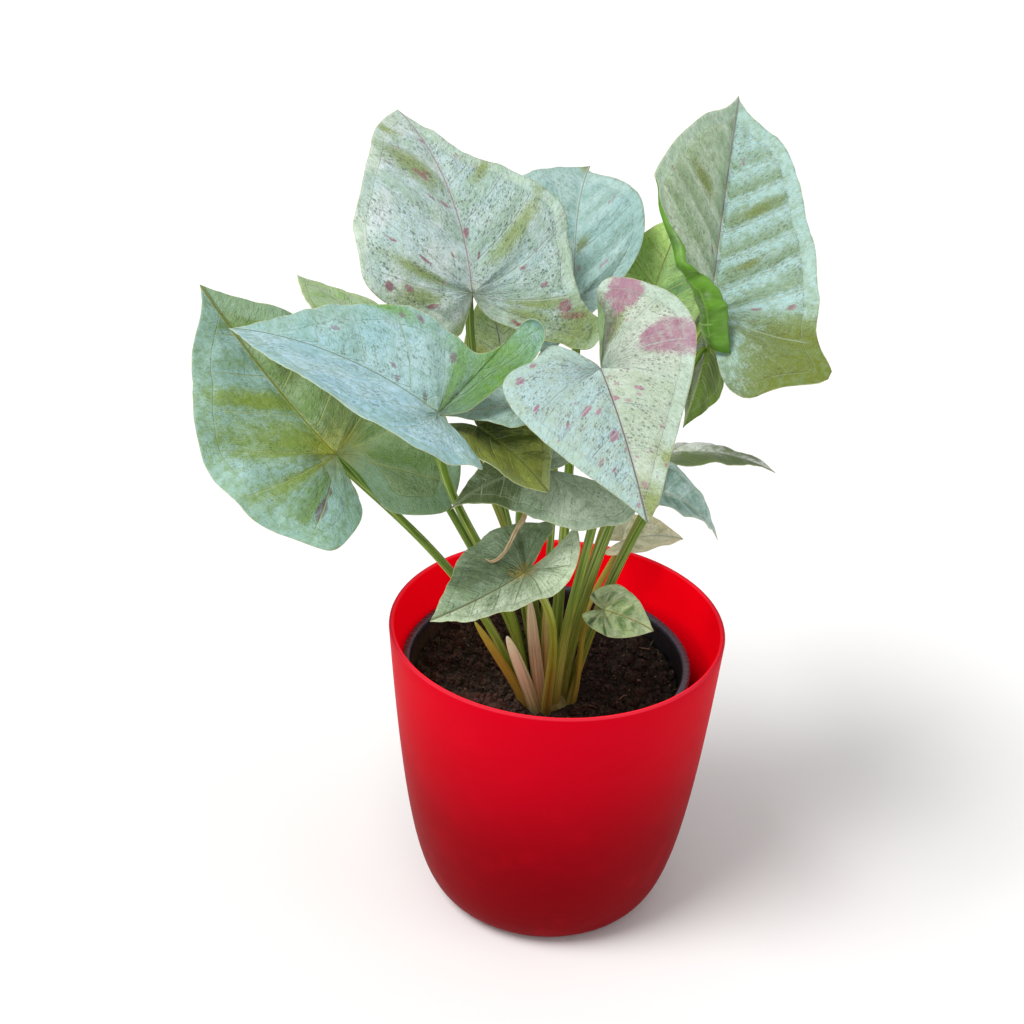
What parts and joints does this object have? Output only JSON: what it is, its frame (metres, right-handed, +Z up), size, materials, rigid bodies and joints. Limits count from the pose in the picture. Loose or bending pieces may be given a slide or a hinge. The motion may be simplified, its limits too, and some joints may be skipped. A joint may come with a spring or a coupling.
{
  "type": "potted syngonium",
  "caption": "Potted arrowhead vine: pale mint heart-shaped leaves on green stalks in a black nursery pot inside a rounded red planter.",
  "frame": {"origin": "centre of the planter's flat foot, on the surface it stands on", "axes": "+Z up along the planter's axis; -Y is the side that faces the viewer in the reference view, +X its right"},
  "size_m": [0.2566, 0.2011, 0.358],
  "materials": {
    "planter_red": "saturated red injection-moulded plastic, satin",
    "pot_black": "thin black nursery pot plastic",
    "soil": "moist crumbly potting mix of peat and bark",
    "stalk": "fresh green stalks, paler and yellowish at the foot",
    "dried": "dry tan shrivelled leaf sheath",
    "leaf": "pale mint leaf blade with fine speckles, pink blotches and pale veins"
  },
  "bodies": {
    "root": {"planter": "planter_red", "nursery_pot": "pot_black", "soil": "soil", "stems": "stalk", "dried_strand": "dried", "leaf_top_left": "leaf", "leaf_top_middle": "leaf", "leaf_top_right": "leaf", "leaf_mid_left": "leaf", "leaf_left": "leaf", "leaf_front": "leaf", "leaf_behind_front": "leaf", "leaf_right": "leaf", "leaf_right_low": "leaf", "leaf_back_right": "leaf", "leaf_under_front": "leaf", "leaf_under_left": "leaf", "leaf_low_front": "leaf", "leaf_small": "leaf", "leaf_back_left": "leaf", "leaf_behind_right": "leaf", "leaf_inner": "leaf", "leaf_tucked": "leaf"}
  },
  "joints": []
}
